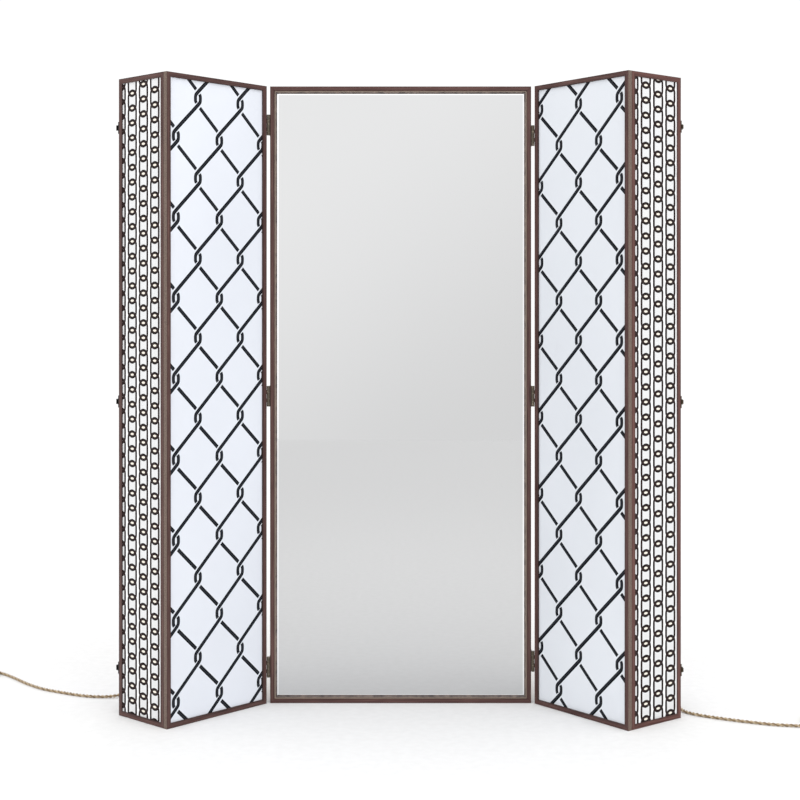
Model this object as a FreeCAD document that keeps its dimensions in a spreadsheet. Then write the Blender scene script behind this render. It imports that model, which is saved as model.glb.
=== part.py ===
"""Folding dressing screen: a full-length framed mirror between two hinged light boxes.

Millimetres. +Z is up, and the mirror faces -Y. The origin is on the floor, under the middle of
the mirror's bottom rail. Each wing is a closed box with opal panels, a lamp inside and a mains
cord at the back. The wings turn about upright hinge pins just in front of the mirror's side
edges, from slightly past flat to folded shut over the glass, where three sliding bolts on the
right wing run into keepers on the left wing.
"""

import FreeCAD, Part
import math
import os

import Sketcher
from FreeCAD import Placement, Rotation, Vector

# Driving dimensions, one sheet cell each.
DIMENSIONS = {
    "full_height": 1800,
    "mirror_width": 762,
    "mirror_depth": 30,
    "mirror_member": 13,
    "bead_face": 5,
    "bead_depth": 8,
    "bead_setback": 3,
    "glass_thick": 4,
    "backing_thick": 5,
    "edge_play": 0.5,
    "wing_width": 368,
    "wing_depth": 215,
    "member": 14,
    "groove_deep": 3,
    "groove_wide": 3.3,
    "panel_thick": 3,
    "panel_play": 0.3,
    "front_recess": 5,
    "end_recess": 3,
    "rear_outer_stile": 50,
    "rear_inner_stile": 30,
    "rear_top_rail": 50,
    "service_rail": 100,
    "rear_panel_lap": 10,
    "hinge_side_gap": 4.8,
    "hinge_front_gap": 2,
    "leaf_thick": 1.8,
    "leaf_height": 60,
    "leaf_reach": 27,
    "leaf_start": 5.5,
    "barrel_radius": 4.6,
    "pin_radius": 2,
    "pin_play": 0.05,
    "knuckle_play": 0.3,
    "csk_radius": 3.2,
    "wood_shank_radius": 1.4,
    "wood_shank_length": 11,
    "dome_radius": 3.6,
    "dome_rise": 1.8,
    "dome_shank_length": 11,
    "corner_shank_length": 16,
    "long_shank_length": 30,
    "bracket_leg": 46,
    "bracket_wide": 8,
    "bracket_thick": 1.5,
    "catch_height": 34,
    "catch_thick": 4,
    "bolt_tall": 11,
    "bolt_thick": 5,
    "bolt_length": 67,
    "bolt_nose": 2,
    "bolt_play": 0.3,
    "strap_thick": 1.6,
    "lamp_radius": 13,
    "lamp_length": 1500,
    "batten_wide": 40,
    "batten_deep": 24,
    "gland_height": 70,
    "gland_hole_radius": 6,
    "relief_length": 35,
    "cord_radius": 4.5,
    "coil_middle_radius": 50,
    "coil_section": 18,
}

LEFT_ANGLE = 47.5        # degrees that the left wing stands forward of flat
RIGHT_ANGLE = 51.4       # the same for the right wing
HINGE_HEIGHTS = {"left": (106, 896, 1687), "right": (123, 896, 1656)}
CATCH_HEIGHTS = (134, 888, 1663)
KNUCKLES = 5             # per hinge: three on the mirror's leaf, two on the wing's

doc = FreeCAD.newDocument("dressing_screen")
sheet = doc.addObject("Spreadsheet::Sheet", "dims")
for line, (alias, value) in enumerate(DIMENSIONS.items(), start=1):
    sheet.set(f"A{line}", alias)
    sheet.set(f"B{line}", str(value))
    sheet.setAlias(f"B{line}", alias)
doc.recompute()


class Size:
    """A length worked out from the sheet: its number, and the expression that gives it."""

    def __init__(self, value, text):
        self.value = value
        self.text = text

    def join(self, sign, other, first=True):
        other = other if isinstance(other, Size) else Size(other, str(other))
        left, right = (self, other) if first else (other, self)
        numbers = {
            "+": left.value + right.value,
            "-": left.value - right.value,
            "*": left.value * right.value,
        }
        return Size(numbers[sign], f"({left.text} {sign} {right.text})")

    def __add__(self, other):
        return self.join("+", other)

    def __radd__(self, other):
        return self.join("+", other, first=False)

    def __sub__(self, other):
        return self.join("-", other)

    def __rsub__(self, other):
        return self.join("-", other, first=False)

    def __mul__(self, other):
        return self.join("*", other)

    def __rmul__(self, other):
        return self.join("*", other, first=False)


d = {alias: Size(value, f"dims.{alias}") for alias, value in DIMENSIONS.items()}
NODES = []


def number(value):
    return value.value if isinstance(value, Size) else value


def text(value):
    return value.text if isinstance(value, Size) else str(value)


def at(x, y, z, turn=0.0, axis=(0, 0, 1)):
    """A placement at a point, turned by some degrees about an axis."""
    base = Vector(number(x), number(y), number(z))
    return Placement(base, Rotation(Vector(*axis), turn))


def facing(origin, right, up):
    """A placement whose X runs along right and whose Y runs along up."""
    x, y = Vector(*right), Vector(*up)
    z = x.cross(y)
    turn = FreeCAD.Matrix(x.x, y.x, z.x, 0, x.y, y.y, z.y, 0, x.z, y.z, z.z, 0, 0, 0, 0, 1)
    return Placement(Vector(*[number(c) for c in origin]), Rotation(turn))


def node(thing, label):
    """Names a finished sub-part, which is exported under that name."""
    thing.Label = label
    NODES.append(thing)
    return thing


def box(name, sizes, place):
    """A block from its placement's origin along +X, +Y and +Z."""
    block = doc.addObject("Part::Box", name)
    for prop, size in zip(("Length", "Width", "Height"), sizes):
        block.setExpression(prop, text(size))
    block.Placement = place
    return block


def cylinder(name, radius, height, place):
    rod = doc.addObject("Part::Cylinder", name)
    rod.setExpression("Radius", text(radius))
    rod.setExpression("Height", text(height))
    rod.Placement = place
    return rod


def fuse(name, shapes):
    whole = doc.addObject("Part::MultiFuse", name)
    whole.Shapes = shapes
    return whole


def cut(name, base, tool):
    rest = doc.addObject("Part::Cut", name)
    rest.Base = base
    rest.Tool = tool
    return rest


def group(name, things):
    """Several separate solids kept together as one node."""
    whole = doc.addObject("Part::Compound", name)
    whole.Links = things
    return whole


def copy_of(master, name, place):
    """The same piece again, somewhere else."""
    link = doc.addObject("App::Link", name)
    link.LinkedObject = master
    link.LinkTransform = False
    link.Placement = place
    return link


def body(name):
    return doc.addObject("PartDesign::Body", name)


def plane_of(owner, role):
    return next(f for f in owner.Origin.OriginFeatures if f.Role == role)


def outline_sketch(owner, name, corners, plane="XY_Plane", lift=0):
    """A closed outline of straight lines whose corners are bound to the sheet."""
    sketch = owner.newObject("Sketcher::SketchObject", name)
    sketch.AttachmentSupport = [(plane_of(owner, plane), "")]
    sketch.MapMode = "FlatFace"
    sketch.AttachmentOffset = at(0, 0, lift)
    points = [Vector(number(x), number(y), 0) for x, y in corners]
    count = len(points)
    for i in range(count):
        sketch.addGeometry(Part.LineSegment(points[i], points[(i + 1) % count]), False)
    for i in range(count):
        sketch.addConstraint(Sketcher.Constraint("Coincident", i, 2, (i + 1) % count, 1))
    for i, (x, y) in enumerate(corners):
        for kind, own_axis, size in (("DistanceX", -2, x), ("DistanceY", -1, y)):
            if number(size) == 0:
                sketch.addConstraint(Sketcher.Constraint("PointOnObject", i, 1, own_axis))
                continue
            limit = Sketcher.Constraint(kind, -1, 1, i, 1, number(size))
            index = sketch.addConstraint(limit)
            sketch.setExpression(f"Constraints[{index}]", text(size))
    return sketch


def turned(name, corners):
    """A turned piece: an outline of (radius, height) corners, spun about its own Z axis."""
    owner = body(name)
    sketch = outline_sketch(owner, f"{name}_outline", corners, "XZ_Plane")
    spin = owner.newObject("PartDesign::Revolution", f"{name}_spin")
    spin.Profile = sketch
    spin.ReferenceAxis = (sketch, ["V_Axis"])
    spin.Angle = 360
    return owner


def mitred_member(name, length, face, depth, groove=None):
    """A frame member: X along its outer edge, Y inwards, Z towards the frame's show face.

    groove is (height of the groove's lower side, its width) along Z, cut into the inner edge.
    """
    owner = body(name)
    ends = [(0, 0), (length, 0), (length - face, face), (face, face)]
    sketch = outline_sketch(owner, f"{name}_face", ends)
    pad = owner.newObject("PartDesign::Pad", f"{name}_pad")
    pad.Profile = sketch
    pad.setExpression("Length", text(depth))
    if groove:
        low, wide = groove
        start = face - d["groove_deep"]
        strip = [(start, start), (length - start, start), (length - face, face), (face, face)]
        trench = outline_sketch(owner, f"{name}_trench", strip, lift=number(low))
        trench.setExpression("AttachmentOffset.Base.z", text(low))
        pocket = owner.newObject("PartDesign::Pocket", f"{name}_groove")
        pocket.Profile = trench
        pocket.Reversed = True
        pocket.setExpression("Length", text(wide))
    return owner


def ring_of_members(name, width, height, face, depth, frame, groove=None):
    """Four mitred members round a rectangle: bottom, right, top and left, as seen from the front."""
    stops = (
        ("bottom", width, at(0, 0, 0)),
        ("right", height, at(width, 0, 0, 90)),
        ("top", width, at(width, height, 0, 180)),
        ("left", height, at(0, height, 0, 270)),
    )
    members = {}
    for side, length, place in stops:
        member = mitred_member(f"{name}_{side}", length, face, depth, groove)
        member.Placement = frame * place
        members[side] = member
    return members


# ---------------------------------------------------------------- fasteners


def dome_screw(name, deep):
    """A round-headed screw: its tip is at Z = 0 and its head's underside at Z = deep."""
    rise, radius, shank = d["dome_rise"], d["dome_radius"], d["wood_shank_radius"]
    corners = [
        (0, 0), (shank, 0), (shank, deep), (radius, deep),
        (radius * 0.9, deep + rise * 0.55), (radius * 0.55, deep + rise * 0.9), (0, deep + rise),
    ]
    return turned(name, corners)


def flush_screw():
    """A countersunk screw: the head's flat top is at Z = shank length + leaf thickness."""
    head, shank = d["csk_radius"], d["wood_shank_radius"]
    deep, thick = d["wood_shank_length"], d["leaf_thick"]
    corners = [(0, 0), (shank, 0), (shank, deep), (head, deep + thick), (0, deep + thick)]
    return turned("flush_screw", corners)


DOME_SCREW = dome_screw("dome_screw", d["dome_shank_length"])
CORNER_SCREW = dome_screw("corner_screw", d["corner_shank_length"])
LONG_SCREW = dome_screw("long_screw", d["long_shank_length"])
FLUSH_SCREW = flush_screw()


def driven(master, name, point, outwards, sunk):
    """A screw driven in at a point of a surface, its shank pointing against outwards."""
    turn = Rotation(Vector(0, 0, 1), Vector(*outwards))
    base = Vector(*[number(c) for c in point]) - Vector(*outwards) * number(sunk)
    return copy_of(master, name, Placement(base, turn))


# ------------------------------------------------------------------- mirror


def mirror():
    """The mitred frame, its bead, the glass, the backing and what holds them."""
    width, height, depth = d["mirror_width"], d["full_height"], d["mirror_depth"]
    member = d["mirror_member"]
    half, back = width * 0.5, depth * 0.5
    frame = facing((0 - half, back, 0), (1, 0, 0), (0, 0, 1))
    members = ring_of_members("mirror", width, height, member, depth, frame)
    names = {
        "bottom": "mirror_rail_bottom", "right": "mirror_stile_right",
        "top": "mirror_rail_top", "left": "mirror_stile_left",
    }
    for side, label in names.items():
        node(members[side], label)

    bead_back = back - depth + d["bead_setback"] + d["bead_depth"]
    bead_frame = facing((member - half, bead_back, member), (1, 0, 0), (0, 0, 1))
    inner_width, inner_height = width - member * 2, height - member * 2
    bead = ring_of_members(
        "bead", inner_width, inner_height, d["bead_face"], d["bead_depth"], bead_frame
    )
    node(group("bead_strips", list(bead.values())), "mirror_bead")

    play = d["edge_play"]
    sheet_size = (inner_width - play * 2, inner_height - play * 2)
    corner = (member + play - half, bead_back, member + play)
    glass = box("glass", (sheet_size[0], d["glass_thick"], sheet_size[1]), at(*corner))
    node(glass, "mirror_glass")
    board_front = bead_back + d["glass_thick"]
    board = box(
        "backing", (sheet_size[0], d["backing_thick"], sheet_size[1]),
        at(corner[0], board_front, corner[2]),
    )
    node(board, "mirror_backing")
    backing_points(inner_width, inner_height, member, board_front + d["backing_thick"])
    corner_brackets(half, height, member, back)
    corner_screws(half.value, height.value, number(back - d["bracket_wide"] * 0.5 - 1))


def backing_points(inner_width, inner_height, member, back):
    """Flat steel points, driven halfway into the frame, that hold the backing in."""
    long_side, short_side, thick = 16, 12, 1
    half = inner_width.value / 2
    heights = [member.value + inner_height.value * share for share in (0.06, 0.28, 0.5, 0.72, 0.94)]
    points = []
    for i, z in enumerate(heights):
        for side in (-1, 1):
            x = side * half - short_side / 2
            place = at(x, back, z - long_side / 2)
            points.append(box(f"point_side_{i}_{side + 1}", (short_side, thick, long_side), place))
    for i, x in enumerate((-0.6 * half, 0.6 * half)):
        for z in (member.value, member.value + inner_height.value):
            place = at(x - long_side / 2, back, z - short_side / 2)
            points.append(box(f"point_end_{i}_{round(z)}", (long_side, thick, short_side), place))
    node(group("points", points), "backing_points")


def corner_brackets(half, height, member, back):
    """A steel angle inside each corner of the frame, behind the backing."""
    leg, wide, thick = d["bracket_leg"], d["bracket_wide"], d["bracket_thick"]
    reach, low = half - member, number(back - wide - 1)
    brackets = []
    for turn in (0, 180):
        for side in (-1, 1):
            word = f"{side + 1}_{turn}"
            foot_x = -reach.value if side < 0 else (reach - leg).value
            post_x = -reach.value if side < 0 else (reach - thick).value
            foot = box(f"bracket_foot_{word}", (leg, wide, thick), at(foot_x, low, 0))
            post = box(f"bracket_post_{word}", (thick, wide, leg), at(post_x, low, 0))
            angle = fuse(f"bracket_{word}", [foot, post])
            base = at(0, 0, member)
            if turn:
                base = at(0, low * 2 + wide.value, height - member, 180, (1, 0, 0))
            angle.Placement = base
            brackets.append(angle)
    node(group("brackets", brackets), "mirror_corner_brackets")


def corner_screws(half, height, y):
    """Two round-headed screws through each member's end into the bracket at each corner."""
    from_corner = (22.5, 35.0)
    sunk = d["corner_shank_length"]
    screws = []
    for side in (-1, 1):
        for offset in from_corner:
            for z, up in ((0, -1), (height, 1)):
                if up > 0:
                    point = (side * (half - offset), y, z)
                    screws.append(driven(CORNER_SCREW, "rail_screw", point, (0, 0, up), sunk))
                along = offset if up < 0 else height - offset
                point = (side * half, y, along)
                screws.append(driven(CORNER_SCREW, "stile_screw", point, (side, 0, 0), sunk))
    node(group("frame_screws", screws), "mirror_corner_screws")


# ------------------------------------------------------------------- hinges


def knuckle_spans(moving):
    """The (bottom, height) of a leaf's knuckles along the hinge, with play between the leaves."""
    pitch = d["leaf_height"] * (1 / KNUCKLES)
    play = d["knuckle_play"] if moving else 0
    first = 1 if moving else 0
    return [(pitch * i + play, pitch - play * 2) for i in range(first, KNUCKLES, 2)]


def hinge_leaf(name, side, moving):
    """A butt-hinge leaf about an upright pin at the origin; the plate stands on one side of it."""
    thick, gap = d["leaf_thick"], d["hinge_side_gap"]
    start, reach, tall = d["leaf_start"], d["leaf_reach"], d["leaf_height"]
    inner = (gap - thick).value
    left = inner if side > 0 else -gap.value
    plate = box(f"{name}_plate", (thick, reach - start, tall), at(left, start, 0))
    pieces = [plate]
    for i, (bottom, span) in enumerate(knuckle_spans(moving)):
        pieces.append(cylinder(f"{name}_knuckle{i}", d["barrel_radius"], span, at(0, 0, bottom)))
        pieces.append(box(f"{name}_web{i}", (thick, start, span), at(left, 0, bottom)))
    bore = d["pin_radius"] + (d["pin_play"] if moving else 0)
    cuts = [cylinder(f"{name}_bore", bore, tall + 2, at(0, 0, -1))]
    for i, (y, z) in enumerate(leaf_holes()):
        sink = doc.addObject("Part::Cone", f"{name}_sink{i}")
        sink.setExpression("Radius1", (d["csk_radius"] + 0.1).text)
        sink.setExpression("Radius2", (d["wood_shank_radius"] + 0.1).text)
        sink.setExpression("Height", thick.text)
        sink.Placement = at(inner * side, y, z, 90 * side, (0, 1, 0))
        cuts.append(sink)
    return cut(name, fuse(f"{name}_whole", pieces), fuse(f"{name}_cuts", cuts))


def leaf_holes():
    """Where a leaf's three screws go, as (distance behind the pin, height)."""
    tall = number(d["leaf_height"])
    return ((13.0, 0.17 * tall), (20.0, 0.5 * tall), (13.0, 0.83 * tall))


def leaf_screws(name, side, heights, base):
    """The countersunk screws of the leaves on one side of a pin."""
    face = number(d["hinge_side_gap"] - d["leaf_thick"]) * side
    sunk = d["wood_shank_length"] + d["leaf_thick"]
    screws = []
    for height in heights:
        for y, z in leaf_holes():
            point = Vector(face, y, height + z)
            screw = driven(FLUSH_SCREW, name, tuple(point), (-side, 0, 0), sunk)
            screw.Placement = base * screw.Placement
            screws.append(screw)
    return screws


def hinge_place(side):
    """The pin of one wing's hinges, at floor level."""
    x = d["mirror_width"] * 0.5 + d["hinge_side_gap"]
    y = 0 - d["mirror_depth"] * 0.5 - d["hinge_front_gap"]
    return at(side * x.value, y, 0)


def wing_place(side):
    """The frame of a wing: its hinge pin is the origin and its front faces -Y."""
    angle = LEFT_ANGLE if side < 0 else -RIGHT_ANGLE
    return hinge_place(side) * at(0, 0, 0, angle)


def hinges():
    """Three hinges to each wing, with their pins and screws."""
    pins, fixed_screws = [], []
    for side, word in ((-1, "left"), (1, "right")):
        starts = [centre - DIMENSIONS["leaf_height"] / 2 for centre in HINGE_HEIGHTS[word]]
        homes = (
            ("mirror", -side, False, hinge_place(side)),
            ("wing", side, True, wing_place(side)),
        )
        for owner, plate_side, moving, base in homes:
            master = hinge_leaf(f"{word}_{owner}_leaf", plate_side, moving)
            leaves = [
                copy_of(master, f"{word}_{owner}_leaf_at", base * at(0, 0, z)) for z in starts
            ]
            node(group(f"{word}_{owner}_leaves", leaves), f"{word}_hinge_leaves_{owner}")
            screws = leaf_screws(f"{word}_{owner}_screw", plate_side, starts, base)
            if moving:
                node(group(f"{word}_wing_screws", screws), f"{word}_hinge_screws_wing")
            else:
                fixed_screws += screws
        pin = d["pin_radius"]
        for z in starts:
            place = hinge_place(side) * at(0, 0, z)
            pins.append(cylinder(f"{word}_pin", pin, d["leaf_height"], place))
    node(group("pins", pins), "hinge_pins")
    node(group("mirror_screws", fixed_screws), "hinge_screws_mirror")


# -------------------------------------------------------------------- wings


class Wing:
    """One light box. along is the distance from its hinge side, behind is from its front."""

    def __init__(self, word, side):
        self.word = word
        self.side = side
        self.place = wing_place(side)

    def spot(self, along, behind, z):
        """A point of the box in the wing's own frame."""
        x = self.side * (d["hinge_side_gap"] + along).value
        return (x, number(d["hinge_front_gap"] + behind), number(z))

    def block(self, name, along, behind, z):
        """A box from spans, each (start, length)."""
        x = along[0] if self.side > 0 else along[0] + along[1]
        corner = at(*self.spot(x, behind[0], z[0]))
        return box(f"{self.word}_{name}", (along[1], behind[1], z[1]), self.place * corner)

    def add(self, thing, name):
        return node(thing, f"{self.word}_{name}")

    def ring(self, name, width, corner, right, face_depth, recess):
        """A mitred frame with a groove for its panel, and the panel itself."""
        member, height = d["member"], d["full_height"]
        frame = self.place * facing(corner, right, (0, 0, 1))
        low = member - recess - d["groove_wide"]
        members = ring_of_members(
            f"{self.word}_{name}", width, height, member, face_depth, frame,
            (low, d["groove_wide"]),
        )
        self.add(group(f"{self.word}_{name}_ring", list(members.values())), f"{name}_frame")
        edge = member - d["groove_deep"] + d["panel_play"]
        sizes = (width - edge * 2, height - edge * 2, d["panel_thick"])
        rest = low + (d["groove_wide"] - d["panel_thick"]) * 0.5
        panel = box(f"{self.word}_{name}_sheet", sizes, frame * at(edge, edge, rest))
        self.add(panel, f"{name}_panel")

    def show_faces(self):
        """The framed opal panels at the front and on the outer end."""
        width, depth, member = d["wing_width"], d["wing_depth"], d["member"]
        start = 0 if self.side > 0 else width
        corner = self.spot(start, member, 0)
        self.ring("front", width, corner, (1, 0, 0), member, d["front_recess"])
        start = member if self.side > 0 else depth
        corner = self.spot(width - member, start, 0)
        self.ring("end", depth - member, corner, (0, self.side, 0), member, d["end_recess"])

    def hidden_walls(self):
        """The plain board on the hinge side, and the boards that close the top and bottom."""
        width, depth, member, height = (
            d["wing_width"], d["wing_depth"], d["member"], d["full_height"]
        )
        side = self.block("side", (0, member), (member, depth - member), (0, height))
        self.add(side, "side_board")
        along, behind = (member, width - member * 2), (member, depth - member * 2)
        self.add(self.block("top", along, behind, (height - member, member)), "top_board")
        self.add(self.block("bottom", along, behind, (0, member)), "bottom_board")

    def rear(self):
        """The rear frame, which unscrews to reach the lamp, and the panel on its inner face."""
        width, depth, member, height = (
            d["wing_width"], d["wing_depth"], d["member"], d["full_height"]
        )
        outer, inner = d["rear_outer_stile"], d["rear_inner_stile"]
        top, service = d["rear_top_rail"], d["service_rail"]
        span = width - member * 2 - outer - inner
        layer = (depth - member, member)
        stile_in = self.block("rear_in", (member, inner), layer, (0, height))
        stile_out = self.block("rear_out", (width - member - outer, outer), layer, (0, height))
        rail = self.block("rear_top", (member + inner, span), layer, (height - top, top))
        plank = self.block("rear_service", (member + inner, span), layer, (0, service))
        hole = cylinder(
            f"{self.word}_gland_hole", d["gland_hole_radius"], member + 2,
            self.gland_place(-1 - member.value),
        )
        drilled = cut(f"{self.word}_service", plank, hole)
        frame = group(f"{self.word}_rear_members", [stile_in, stile_out, rail, drilled])
        self.add(frame, "rear_frame")
        lap = d["rear_panel_lap"]
        sheet_at = (member + inner - lap, span + lap * 2)
        layer = (depth - member - d["panel_thick"], d["panel_thick"])
        tall = (service - lap, height - top - service + lap * 2)
        self.add(self.block("rear_sheet", sheet_at, layer, tall), "rear_panel")
        self.rear_screws()

    def rear_screws(self):
        """Round-headed screws through the rear frame into the top and bottom boards."""
        member, height = number(d["member"]), number(d["full_height"])
        screws = []
        for share in (0.1, 0.5, 0.9):
            along = member + share * number(d["wing_width"] - d["member"] * 2)
            for z in (member / 2, height - member / 2):
                point = self.spot(Size(along, str(along)), d["wing_depth"], z)
                screw = driven(
                    LONG_SCREW, f"{self.word}_rear_screw", point, (0, 1, 0),
                    d["long_shank_length"],
                )
                screw.Placement = self.place * screw.Placement
                screws.append(screw)
        self.add(group(f"{self.word}_rear_fixings", screws), "rear_screws")

    def gland_place(self, out):
        """Where the cord leaves: the middle of the service rail, Z pointing out of the rear."""
        point = self.spot(d["wing_width"] * 0.5, d["wing_depth"] + out, d["gland_height"])
        return self.place * Placement(Vector(*point), Rotation(Vector(0, 0, 1), Vector(0, 1, 0)))

    def lamp(self):
        """A tube lamp on a batten down the middle of the hinge-side board."""
        member, depth, height = d["member"], d["wing_depth"], d["full_height"]
        wide, deep = d["batten_wide"], d["batten_deep"]
        long = d["lamp_length"] + 60
        low = (height - long) * 0.5
        behind = (depth - wide) * 0.5
        batten = self.block("batten_case", (member, deep), (behind, wide), (low, long))
        hollow = self.block(
            "batten_hollow", (member - 1, deep - 1), (behind + 2, wide - 4), (low + 2, long - 4)
        )
        self.add(cut(f"{self.word}_batten", batten, hollow), "lamp_batten")
        axis_out = member + deep + d["lamp_radius"] + 6
        holders = []
        tall = 24
        for name, z in (("low", low), ("high", low + long - tall)):
            case = self.block(
                f"holder_{name}", (member + deep, d["lamp_radius"] * 2 + 8),
                (depth * 0.5 - 15, 30), (z, tall),
            )
            holders.append(case)
        socket = d["lamp_radius"] + 0.3
        cup_long = d["lamp_length"] + 20
        start = (height - cup_long) * 0.5
        place = self.place * at(*self.spot(axis_out, depth * 0.5, start))
        cup = cylinder(f"{self.word}_holder_cup", socket, cup_long, place)
        pair = group(f"{self.word}_holder_pair", holders)
        self.add(cut(f"{self.word}_holders", pair, cup), "lamp_holders")
        self.add(self.lamp_tube(axis_out, depth * 0.5, start + 0.5), "lamp_tube")

    def lamp_tube(self, along, behind, low):
        """A glass tube with a metal cap a little wider than it at each end."""
        cap, radius = 16, d["lamp_radius"]
        long = d["lamp_length"] + 19
        corners = [
            (0, 0), (radius, 0), (radius, cap), (radius - 0.6, cap), (radius - 0.6, long - cap),
            (radius, long - cap), (radius, long), (0, long),
        ]
        tube = turned(f"{self.word}_tube", corners)
        tube.Placement = self.place * at(*self.spot(along, behind, low))
        return tube

    def strain_relief(self):
        """A gland clamped through the service rail, tapering along the cord."""
        hole, member, out = d["gland_hole_radius"], d["member"], d["relief_length"]
        flange, nut, tip = hole + 4, hole + 3, d["cord_radius"] + 0.8
        inside = 5
        corners = [
            (0, 0), (nut, 0), (nut, inside), (hole, inside), (hole, member + inside),
            (flange, member + inside), (flange, member + inside + 4),
            (hole + 1.5, member + inside + 5), (tip, member + inside + out),
            (0, member + inside + out),
        ]
        gland = turned(f"{self.word}_gland", corners)
        gland.Placement = self.gland_place(-inside - member.value)
        self.add(gland, "strain_relief")

    def build(self):
        self.show_faces()
        self.hidden_walls()
        self.rear()
        self.lamp()
        self.strain_relief()


# ------------------------------------------------------------------ catches


def catch_frame(wing, height):
    """X runs out of the box past its outer edge, Y is up and Z leaves the rear face.

    On the left wing X and Z keep those meanings, and Y points down.
    """
    corner = wing.spot(d["wing_width"], d["wing_depth"], height)
    up = 1 if wing.side < 0 else -1
    return wing.place * facing(corner, (wing.side, 0, 0), (0, 0, up))


def strap(name, start, long, frame):
    """A bridge over the bolt, open along X, standing on a plate."""
    play, wall = d["bolt_play"], d["strap_thick"]
    inside_tall, inside_deep = d["bolt_tall"] + play * 2, d["bolt_thick"] + play * 2
    tall, deep = inside_tall + wall * 2, inside_deep + wall
    floor = d["catch_thick"]
    outer = box(f"{name}_outer", (long, tall, deep), frame * at(start, tall.value / -2, floor))
    inner = box(
        f"{name}_inner", (long + 2, inside_tall, inside_deep),
        frame * at(start - 1, inside_tall.value / -2, floor),
    )
    return cut(name, outer, inner)


def catches(left, right):
    """Three keepers on the left wing and three bolts on the right one, each sliding 30 along X."""
    tall, thick = d["catch_height"], d["catch_thick"]
    keepers, bases, keeper_screws, base_screws = [], [], [], []
    keeper_wide, base_wide = d["member"], d["member"] + d["rear_outer_stile"]
    names = ("bottom", "middle", "top")
    for name, height in zip(names, CATCH_HEIGHTS):
        frame = catch_frame(left, height)
        plate = box(
            f"keeper_plate_{name}", (keeper_wide, tall, thick),
            frame * at(0 - keeper_wide, tall * -0.5, 0),
        )
        loop = strap(f"keeper_loop_{name}", -9, 10, frame)
        keepers.append(fuse(f"keeper_{name}", [plate, loop]))
        keeper_screws += plate_screws("keeper_screw", frame, (-7,), thick)

        frame = catch_frame(right, height)
        plate = box(
            f"bolt_plate_{name}", (base_wide, tall, thick),
            frame * at(0 - base_wide, tall * -0.5, 0),
        )
        straps = [
            strap(f"guide_outer_{name}", -9, 7, frame), strap(f"guide_inner_{name}", -25, 7, frame)
        ]
        bases.append(fuse(f"bolt_base_{name}", [plate, *straps]))
        base_screws += plate_screws("bolt_screw", frame, (-7, -57), thick)
        node(sliding_bolt(name, frame), f"bolt_{name}")
    node(group("keepers", keepers), "left_bolt_keepers")
    node(group("keeper_fixings", keeper_screws), "left_keeper_screws")
    node(group("bolt_bases", bases), "right_bolt_bases")
    node(group("bolt_fixings", base_screws), "right_bolt_screws")


def plate_screws(name, frame, stations, thick):
    """Round-headed screws through a catch plate, above and below its middle."""
    screws = []
    for x in stations:
        for y in (-12.5, 12.5):
            screw = driven(DOME_SCREW, name, (x, y, thick), (0, 0, 1), d["dome_shank_length"])
            screw.Placement = frame * screw.Placement
            screws.append(screw)
    return screws


def sliding_bolt(name, frame):
    """A flat bolt with a thumb knob near its tail."""
    long, tall, thick = d["bolt_length"], d["bolt_tall"], d["bolt_thick"]
    lift = d["catch_thick"] + d["bolt_play"]
    tail = d["bolt_nose"] - long
    bar = box(f"bolt_bar_{name}", (long, tall, thick), frame * at(tail, tall * -0.5, lift))
    knob_at = frame * at(tail + 6, 0, lift + thick)
    stem = cylinder(f"bolt_stem_{name}", 3, 6, knob_at)
    head = cylinder(f"bolt_head_{name}", 5, 3, knob_at * at(0, 0, 5))
    return fuse(f"bolt_whole_{name}", [bar, stem, head])


# -------------------------------------------------------------------- cords

FLOOR = DIMENSIONS["cord_radius"]

# Routes of the cords' centre lines over the floor, from a little behind the strain reliefs to
# the coils.
LEFT_ROUTE = (
    (-721, 34, 70), (-746, 52, 58), (-774, 61, 36), (-804, 58, 15), (-836, 47, 6.5),
    (-868, 41, FLOOR), (-903, 42, FLOOR), (-948, 55, FLOOR), (-1010, 90, FLOOR),
    (-1080, 132, FLOOR), (-1145, 198, FLOOR), (-1207, 278, FLOOR), (-1250, 326, FLOOR),
    (-1292.7, 357.3, FLOOR),
)
RIGHT_ROUTE = (
    (722.4, 10.2, 70), (748, 15.6, 66), (773.5, 9, 55), (793, -9, 41), (802.5, -35, 26),
    (800.5, -66, 13.5), (799, -98, 6.5), (813, -134, FLOOR), (852, -167, FLOOR),
    (903, -199, FLOOR), (962, -229, FLOOR), (1030, -259, FLOOR), (1096, -271, FLOOR),
    (1136, -274.5, FLOOR), (1171.2, -270.4, FLOOR),
)


def cord_tube(name, points):
    """A round cord along straight runs that are joined by the widest arcs that fit."""
    points = [Vector(*p) for p in points]
    runs = [(b - a).Length for a, b in zip(points, points[1:])]
    edges, start, radii = [], points[0], []
    for i in range(1, len(points) - 1):
        before = (points[i] - points[i - 1]).normalize()
        after = (points[i + 1] - points[i]).normalize()
        half_turn = before.getAngle(after) / 2
        reach = 0.45 * min(runs[i - 1], runs[i])
        radii.append(reach / math.tan(half_turn))
        into, away = points[i] - before * reach, points[i] + after * reach
        inwards = (after - before).normalize()
        middle = points[i] + inwards * (radii[-1] / math.cos(half_turn) - radii[-1])
        edges.append(Part.LineSegment(start, into).toShape())
        edges.append(Part.Arc(into, middle, away).toShape())
        start = away
    edges.append(Part.LineSegment(start, points[-1]).toShape())
    path = Part.Wire(edges)
    radius = DIMENSIONS["cord_radius"]
    circle = Part.Circle(points[0], points[1] - points[0], radius).toShape()
    solid = path.makePipeShell([Part.Wire([circle])], True, False)
    expected = math.pi * radius**2 * path.Length
    print(f"{name}: length {path.Length:.1f}, volume share {solid.Volume / expected:.4f}")
    print(f"{name}: runs {[round(r) for r in runs]}")
    print(f"{name}: radii {[round(r) for r in radii]}")
    tube = doc.addObject("Part::Feature", name)
    tube.Shape = solid
    return tube


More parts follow.
